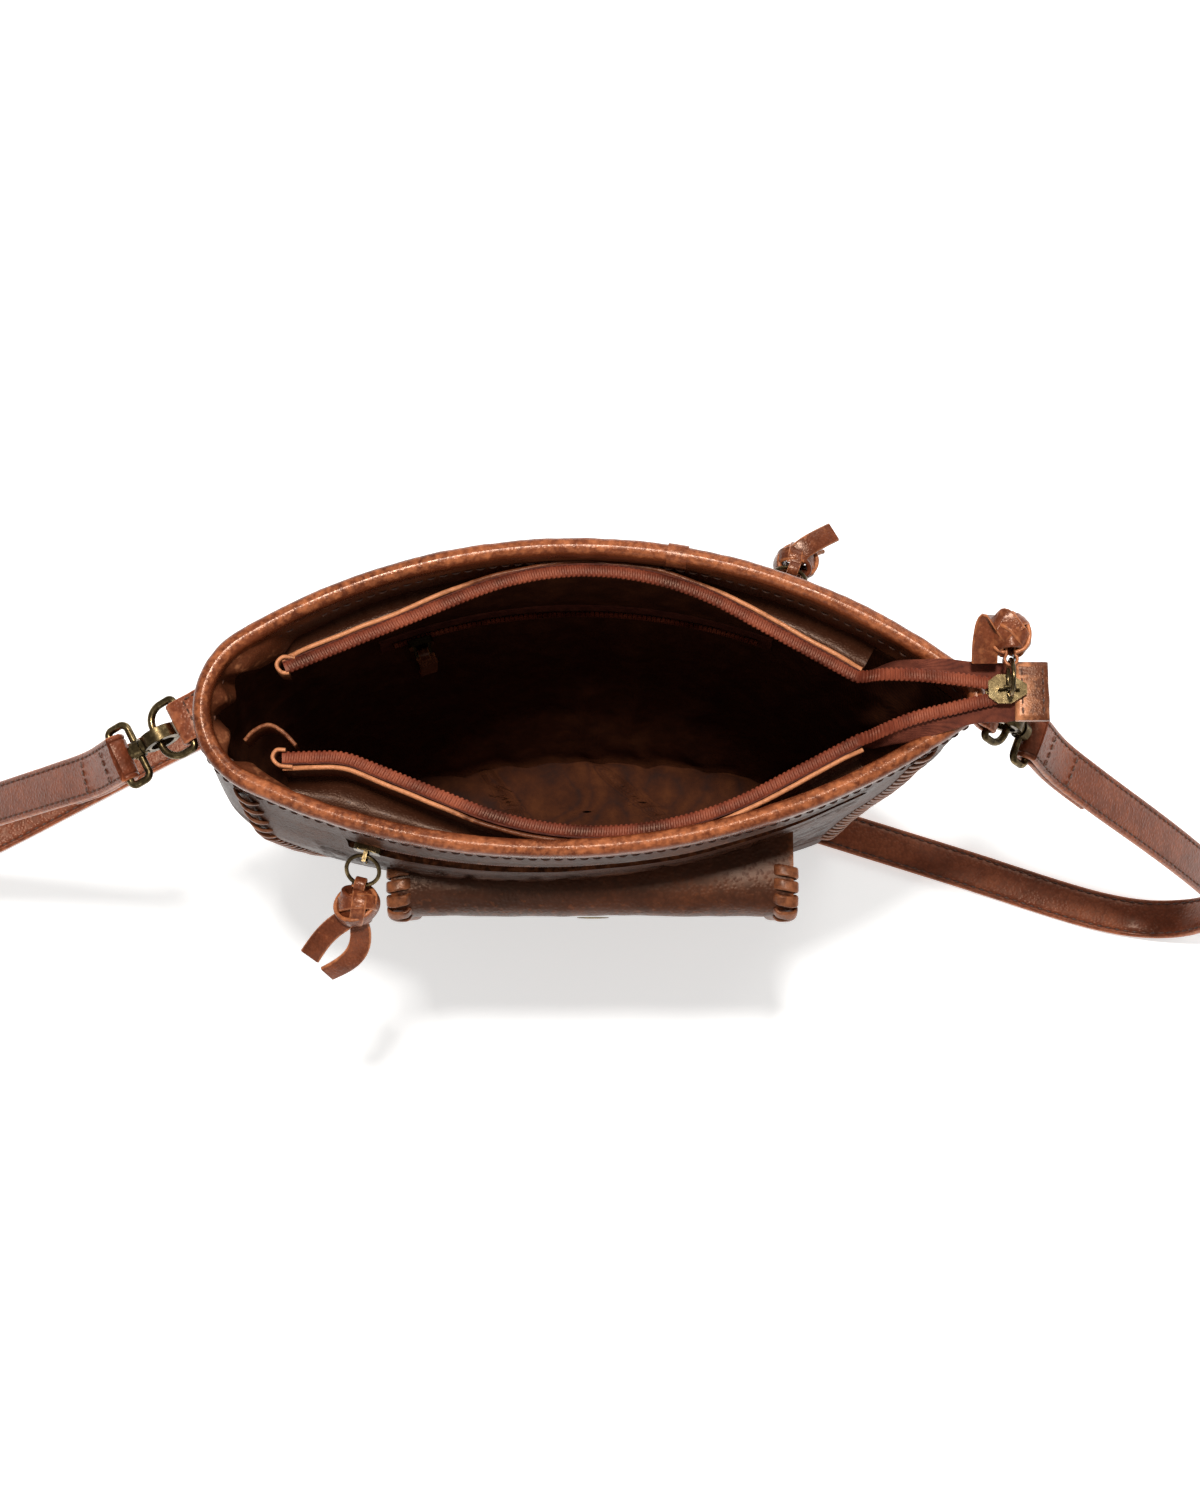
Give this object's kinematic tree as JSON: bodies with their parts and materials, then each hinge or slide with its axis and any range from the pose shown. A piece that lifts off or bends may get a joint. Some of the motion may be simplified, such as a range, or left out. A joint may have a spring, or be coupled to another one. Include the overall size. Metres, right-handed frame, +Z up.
{
  "type": "crossbody purse",
  "caption": "Soft leather crossbody purse standing open, with recessed top zipper, laced front flap pocket, outside zip pockets and a clip-on shoulder strap.",
  "frame": {"origin": "middle of the flat base, on the surface the purse stands on", "axes": "+X along the purse towards the tail of the top zipper, +Z up; the flap pocket faces -Y"},
  "size_m": [0.5372, 0.1592, 0.2481],
  "materials": {
    "tooled_leather": "tooled, waxed, dark antique brown",
    "gusset_leather": "pebbled, waxed brown",
    "rim_leather": "smooth waxed orange brown",
    "facing_leather": "smooth brown",
    "flap_leather": "fine pebbled brown",
    "strap_leather": "pebbled, creased, stitched",
    "lace_leather": "flat lace",
    "pull_leather": "knotted suede lace",
    "lining_cloth": "woven lining, brown",
    "zip_tape": "woven tape, reddish brown",
    "zip_coil": "nylon coil, reddish brown",
    "antique_brass": "antique, tumbled"
  },
  "bodies": {
    "purse": {"back_coil": "zip_coil", "back_left_lacing": "lace_leather", "back_panel": "tooled_leather", "back_placket": "facing_leather", "back_right_lacing": "lace_leather", "back_tape": "zip_tape", "back_zip_coil": "zip_coil", "back_zip_tape": "zip_tape", "base_panel": "tooled_leather", "front_coil": "zip_coil", "front_left_lacing": "lace_leather", "front_panel": "tooled_leather", "front_placket": "facing_leather", "front_right_lacing": "lace_leather", "front_tape": "zip_tape", "front_zip_coil": "zip_coil", "front_zip_tape": "zip_tape", "inner_front_pocket": "lining_cloth", "inner_pocket_trim": "facing_leather", "inner_zip_coil": "zip_coil", "inner_zip_tape": "zip_tape", "left_clasp_eye": "antique_brass", "left_gusset": "gusset_leather", "left_ring_tab": "strap_leather", "lining": "lining_cloth", "pocket_flap_root": "flap_leather", "pocket_pouch": "tooled_leather", "right_clasp_eye": "antique_brass", "right_gusset": "gusset_leather", "right_ring_tab": "strap_leather", "rim_binding": "rim_leather", "rim_facing": "facing_leather", "shoulder_strap": "strap_leather", "snap_stud": "antique_brass", "tail_tape": "zip_tape", "zip_end_tab": "facing_leather"},
    "main_slider": {"main_slider": "antique_brass"},
    "main_ring": {"main_pull_ring": "antique_brass"},
    "main_pull": {"main_zip_pull": "pull_leather"},
    "front_slider": {"front_zip_slider": "antique_brass"},
    "front_ring": {"front_pull_ring": "antique_brass"},
    "front_pull": {"front_zip_pull": "pull_leather"},
    "back_slider": {"back_zip_slider": "antique_brass"},
    "back_ring": {"back_pull_ring": "antique_brass"},
    "back_pull": {"back_zip_pull": "pull_leather"},
    "inner_slider": {"inner_zip_slider": "antique_brass"},
    "inner_pull": {"inner_zip_pull": "pull_leather"},
    "flap": {"pocket_flap": "flap_leather", "snap_cap": "antique_brass", "flap_lacing": "lace_leather"},
    "left_d_ring": {"left_d_ring": "antique_brass"},
    "right_d_ring": {"right_d_ring": "antique_brass"},
    "left_hook": {"left_clasp_hook": "antique_brass"},
    "right_hook": {"right_clasp_hook": "antique_brass"},
    "left_gate": {"left_clasp_gate": "antique_brass"},
    "right_gate": {"right_clasp_gate": "antique_brass"}
  },
  "joints": [
    {"name": "main_slider_travel", "type": "slide", "parent": "purse", "child": "main_slider", "axis": [1, 0, 0], "range_m": [-0.012, 0]},
    {"name": "main_ring_swing", "type": "hinge", "parent": "main_slider", "child": "main_ring", "pos_m": [0.13475, 0, 0.23865], "axis": [1, 0, 0], "range_deg": [0, 70]},
    {"name": "main_pull_round_ring", "type": "hinge", "parent": "main_ring", "child": "main_pull", "pos_m": [0.13475, 0.00249, 0.24184], "axis": [1, 0, 0], "range_deg": [0, 50]},
    {"name": "front_slider_travel", "type": "hinge", "parent": "purse", "child": "front_slider", "pos_m": [-0.01699, 0.18733, 0.199], "axis": [0, 0, 1], "range_deg": [0, 39.15]},
    {"name": "back_slider_travel", "type": "hinge", "parent": "purse", "child": "back_slider", "pos_m": [-0.00517, -0.14996, 0.199], "axis": [0, 0, 1], "range_deg": [0, 38.78]},
    {"name": "inner_slider_travel", "type": "hinge", "parent": "purse", "child": "inner_slider", "pos_m": [-0.00463, -0.14716, 0.157], "axis": [0, 0, -1], "range_deg": [0, 34.63]},
    {"name": "front_ring_swing", "type": "hinge", "parent": "front_slider", "child": "front_ring", "pos_m": [-0.07617, -0.05095, 0.199], "axis": [-0.9705, 0.241, 0], "range_deg": [0, 70]},
    {"name": "front_pull_swing", "type": "hinge", "parent": "front_ring", "child": "front_pull", "pos_m": [-0.07792, -0.05801, 0.19332], "axis": [-0.9705, 0.241, 0], "range_deg": [0, 45]},
    {"name": "back_ring_swing", "type": "hinge", "parent": "back_slider", "child": "back_ring", "pos_m": [0.06668, 0.04462, 0.199], "axis": [0.9381, -0.3464, 0], "range_deg": [0, 70]},
    {"name": "back_pull_swing", "type": "hinge", "parent": "back_ring", "child": "back_pull", "pos_m": [0.0692, 0.05144, 0.19332], "axis": [0.9381, -0.3464, 0], "range_deg": [0, 45]},
    {"name": "inner_pull_swing", "type": "hinge", "parent": "inner_slider", "child": "inner_pull", "pos_m": [-0.0602, 0.02984, 0.157], "axis": [-0.9541, -0.2995, 0], "range_deg": [0, 60]},
    {"name": "flap_hinge", "type": "hinge", "parent": "purse", "child": "flap", "pos_m": [0, -0.05775, 0.177], "axis": [-1, 0, 0], "range_deg": [0, 110]},
    {"name": "left_d_ring_swing", "type": "hinge", "parent": "purse", "child": "left_d_ring", "pos_m": [-0.138, -0.0038, 0.2], "axis": [0.4695, -0.8829, 0], "range_deg": [-4, 4]},
    {"name": "left_hook_swivel", "type": "hinge", "parent": "purse", "child": "left_hook", "pos_m": [-0.138, -0.0038, 0.2], "axis": [-0.8529, -0.4535, -0.2588], "range_deg": [-17, 17]},
    {"name": "left_gate_swing", "type": "hinge", "parent": "left_hook", "child": "left_gate", "pos_m": [-0.14732, -0.00875, 0.191], "axis": [0.4695, -0.8829, 0], "range_deg": [0, 20], "stiffness_Nm_per_rad": 0.002, "springref_deg": -20.05},
    {"name": "right_d_ring_swing", "type": "hinge", "parent": "purse", "child": "right_d_ring", "pos_m": [0.135, 0, 0.202], "axis": [0.342, 0.9397, 0], "range_deg": [-4, 4]},
    {"name": "right_hook_swivel", "type": "hinge", "parent": "purse", "child": "right_hook", "pos_m": [0.135, 0, 0.202], "axis": [0.6288, -0.2289, -0.7431], "range_deg": [-17, 17]},
    {"name": "right_gate_swing", "type": "hinge", "parent": "right_hook", "child": "right_gate", "pos_m": [0.13871, -0.00135, 0.1887], "axis": [0.342, 0.9397, 0], "range_deg": [0, 20], "stiffness_Nm_per_rad": 0.002, "springref_deg": -20.05}
  ]
}
